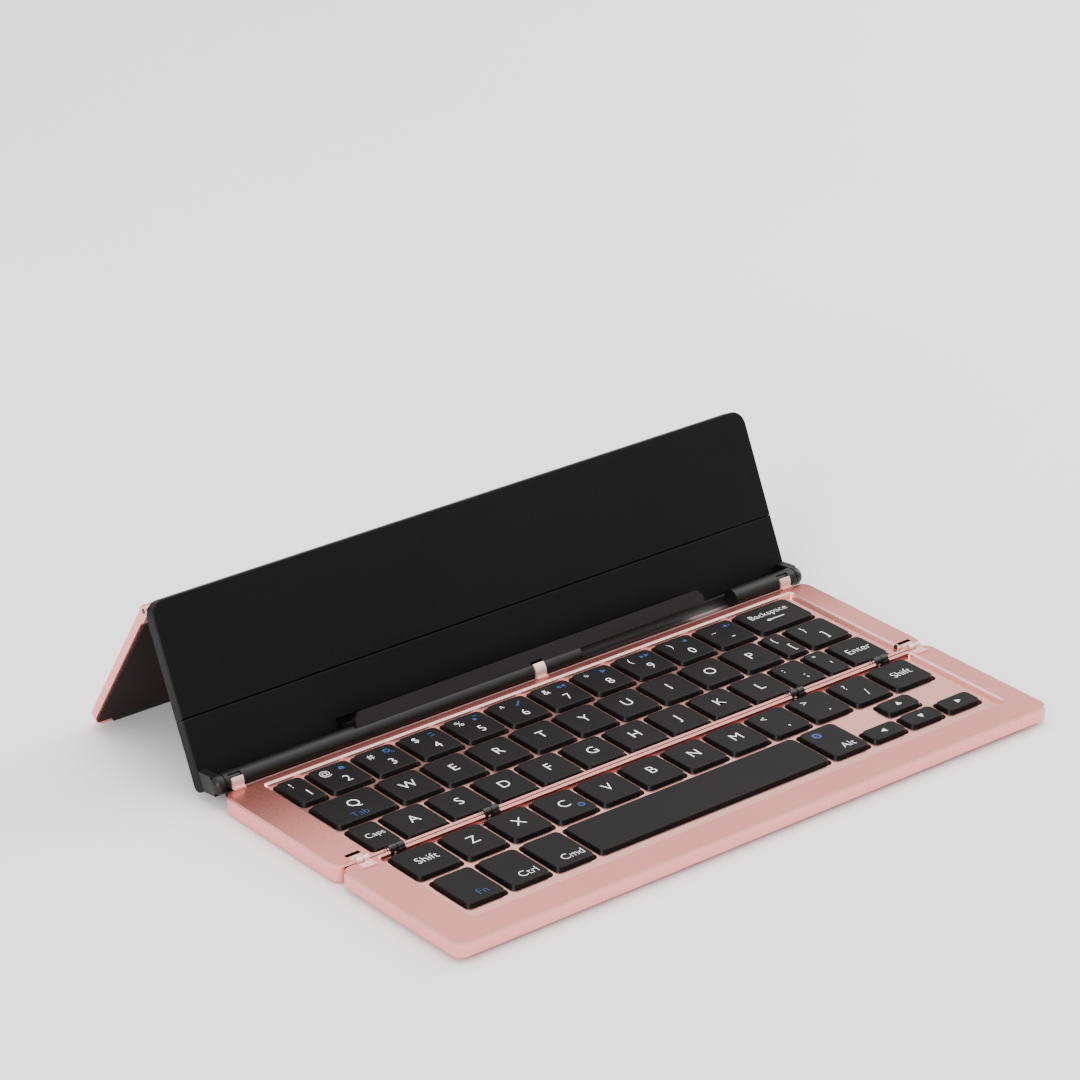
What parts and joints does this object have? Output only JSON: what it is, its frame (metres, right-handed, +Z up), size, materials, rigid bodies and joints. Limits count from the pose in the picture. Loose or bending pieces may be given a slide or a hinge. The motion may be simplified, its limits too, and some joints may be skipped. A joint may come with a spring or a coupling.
{
  "type": "tablet keyboard case",
  "caption": "Folding keyboard case in two hinged aluminium halves, with a tablet ledge and a two-panel stand behind the keys.",
  "frame": {"origin": "centre of the case's footprint, on the surface that its feet stand on", "axes": "+X along the key rows to the right, +Y from the space bar to the stand, +Z up"},
  "size_m": [0.262, 0.1996, 0.0614],
  "materials": {
    "rose_aluminium": "fine bead-blasted, rose anodised",
    "polished_rose": "bright rose anodised",
    "black_plastic": "moulded black",
    "keycap_black": "fine matt keycap",
    "stand_black": "satin black board",
    "barrel_black": "satin black anodised",
    "steel": "plain steel",
    "magnet": "nickel plated",
    "rubber": "matt silicone rubber",
    "circuit": "solder mask",
    "flex_amber": "amber film",
    "battery_wrap": "foil pouch"
  },
  "bodies": {
    "rear_half": {"battery_cell": "battery_wrap", "charging_socket": "steel", "fold_hinge_pins": "steel", "hinge_straps": "polished_rose", "ledge_grip": "rubber", "rear_bottom_cover": "rose_aluminium", "rear_circuit_board": "circuit", "rear_cover_screws": "steel", "rear_feet": "rubber", "rear_hinge_knuckles": "black_plastic", "rear_hinge_leaves": "polished_rose", "rear_key_deck": "rose_aluminium", "rear_magnets": "magnet", "rear_switch_pads": "steel", "rear_top_frame": "rose_aluminium", "ribbon_tail": "flex_amber", "spine_bar_long": "barrel_black", "spine_bar_short": "barrel_black", "spine_cradle": "rose_aluminium", "spine_guard": "black_plastic", "stand_axles": "steel", "tablet_ledge": "barrel_black"},
    "front_half": {"front_bottom_cover": "rose_aluminium", "front_circuit_sheet": "circuit", "front_cover_screws": "steel", "front_feet": "rubber", "front_hinge_knuckles": "black_plastic", "front_hinge_leaves": "polished_rose", "front_key_deck": "rose_aluminium", "front_magnets": "magnet", "front_switch_pads": "steel", "front_top_frame": "rose_aluminium"},
    "stand_panel": {"stand_lower_panel": "stand_black", "stand_upper_panel": "stand_black", "panel_knuckles": "barrel_black", "leg_brackets": "black_plastic", "leg_pins": "steel"},
    "leg": {"leg_plate": "rose_aluminium", "leg_liner": "stand_black", "leg_foot_strip": "rubber"},
    "power_switch": {"power_switch": "black_plastic"},
    "number_row_keys": {"number_row_keys": "keycap_black"},
    "upper_row_keys": {"upper_row_keys": "keycap_black"},
    "home_row_keys": {"home_row_keys": "keycap_black"},
    "key_backspace": {"key_backspace": "keycap_black"},
    "key_tab_q": {"key_tab_q": "keycap_black"},
    "key_caps": {"key_caps": "keycap_black"},
    "key_enter": {"key_enter": "keycap_black"},
    "lower_row_keys": {"lower_row_keys": "keycap_black"},
    "key_alt": {"key_alt": "keycap_black"},
    "key_arrow_down": {"key_arrow_down": "keycap_black"},
    "key_arrow_left": {"key_arrow_left": "keycap_black"},
    "key_arrow_right": {"key_arrow_right": "keycap_black"},
    "key_arrow_up": {"key_arrow_up": "keycap_black"},
    "key_cmd": {"key_cmd": "keycap_black"},
    "key_ctrl": {"key_ctrl": "keycap_black"},
    "key_fn": {"key_fn": "keycap_black"},
    "key_shift_left": {"key_shift_left": "keycap_black"},
    "key_shift_right": {"key_shift_right": "keycap_black"},
    "key_space": {"key_space": "keycap_black"}
  },
  "joints": [
    {"name": "front_half_fold", "type": "hinge", "parent": "rear_half", "child": "front_half", "pos_m": [0, -0.03945, 0.00695], "axis": [-1, 0, 0], "range_deg": [0, 180]},
    {"name": "stand_tilt", "type": "hinge", "parent": "rear_half", "child": "stand_panel", "pos_m": [0, 0.02675, 0.0078], "axis": [1, 0, 0], "range_deg": [0, 116]},
    {"name": "leg_fold", "type": "hinge", "parent": "stand_panel", "child": "leg", "pos_m": [0, 0.06482, 0.05654], "axis": [-1, 0, 0], "range_deg": [0, 57]},
    {"name": "power_switch_slide", "type": "slide", "parent": "rear_half", "child": "power_switch", "axis": [0, 1, 0], "range_m": [0, 0.003]},
    {"name": "number_row_keys_press", "type": "slide", "parent": "rear_half", "child": "number_row_keys", "axis": [0, 0, -1], "range_m": [0, 0.0012], "stiffness_N_per_m": 400, "springref_m": -0.001},
    {"name": "upper_row_keys_press", "type": "slide", "parent": "rear_half", "child": "upper_row_keys", "axis": [0, 0, -1], "range_m": [0, 0.0012], "stiffness_N_per_m": 400, "springref_m": -0.001},
    {"name": "home_row_keys_press", "type": "slide", "parent": "rear_half", "child": "home_row_keys", "axis": [0, 0, -1], "range_m": [0, 0.0012], "stiffness_N_per_m": 400, "springref_m": -0.001},
    {"name": "backspace_press", "type": "slide", "parent": "rear_half", "child": "key_backspace", "axis": [0, 0, -1], "range_m": [0, 0.0012], "stiffness_N_per_m": 250, "springref_m": -0.001},
    {"name": "tab_q_press", "type": "slide", "parent": "rear_half", "child": "key_tab_q", "axis": [0, 0, -1], "range_m": [0, 0.0012], "stiffness_N_per_m": 250, "springref_m": -0.001},
    {"name": "caps_press", "type": "slide", "parent": "rear_half", "child": "key_caps", "axis": [0, 0, -1], "range_m": [0, 0.0012], "stiffness_N_per_m": 250, "springref_m": -0.001},
    {"name": "enter_press", "type": "slide", "parent": "rear_half", "child": "key_enter", "axis": [0, 0, -1], "range_m": [0, 0.0012], "stiffness_N_per_m": 250, "springref_m": -0.001},
    {"name": "lower_row_keys_press", "type": "slide", "parent": "front_half", "child": "lower_row_keys", "axis": [0, 0, -1], "range_m": [0, 0.0012], "stiffness_N_per_m": 400, "springref_m": -0.001},
    {"name": "alt_press", "type": "slide", "parent": "front_half", "child": "key_alt", "axis": [0, 0, -1], "range_m": [0, 0.0012], "stiffness_N_per_m": 250, "springref_m": -0.001},
    {"name": "arrow_down_press", "type": "slide", "parent": "front_half", "child": "key_arrow_down", "axis": [0, 0, -1], "range_m": [0, 0.0012], "stiffness_N_per_m": 250, "springref_m": -0.001},
    {"name": "arrow_left_press", "type": "slide", "parent": "front_half", "child": "key_arrow_left", "axis": [0, 0, -1], "range_m": [0, 0.0012], "stiffness_N_per_m": 250, "springref_m": -0.001},
    {"name": "arrow_right_press", "type": "slide", "parent": "front_half", "child": "key_arrow_right", "axis": [0, 0, -1], "range_m": [0, 0.0012], "stiffness_N_per_m": 250, "springref_m": -0.001},
    {"name": "arrow_up_press", "type": "slide", "parent": "front_half", "child": "key_arrow_up", "axis": [0, 0, -1], "range_m": [0, 0.0012], "stiffness_N_per_m": 250, "springref_m": -0.001},
    {"name": "cmd_press", "type": "slide", "parent": "front_half", "child": "key_cmd", "axis": [0, 0, -1], "range_m": [0, 0.0012], "stiffness_N_per_m": 250, "springref_m": -0.001},
    {"name": "ctrl_press", "type": "slide", "parent": "front_half", "child": "key_ctrl", "axis": [0, 0, -1], "range_m": [0, 0.0012], "stiffness_N_per_m": 250, "springref_m": -0.001},
    {"name": "fn_press", "type": "slide", "parent": "front_half", "child": "key_fn", "axis": [0, 0, -1], "range_m": [0, 0.0012], "stiffness_N_per_m": 250, "springref_m": -0.001},
    {"name": "shift_left_press", "type": "slide", "parent": "front_half", "child": "key_shift_left", "axis": [0, 0, -1], "range_m": [0, 0.0012], "stiffness_N_per_m": 250, "springref_m": -0.001},
    {"name": "shift_right_press", "type": "slide", "parent": "front_half", "child": "key_shift_right", "axis": [0, 0, -1], "range_m": [0, 0.0012], "stiffness_N_per_m": 250, "springref_m": -0.001},
    {"name": "space_press", "type": "slide", "parent": "front_half", "child": "key_space", "axis": [0, 0, -1], "range_m": [0, 0.0012], "stiffness_N_per_m": 250, "springref_m": -0.001}
  ]
}
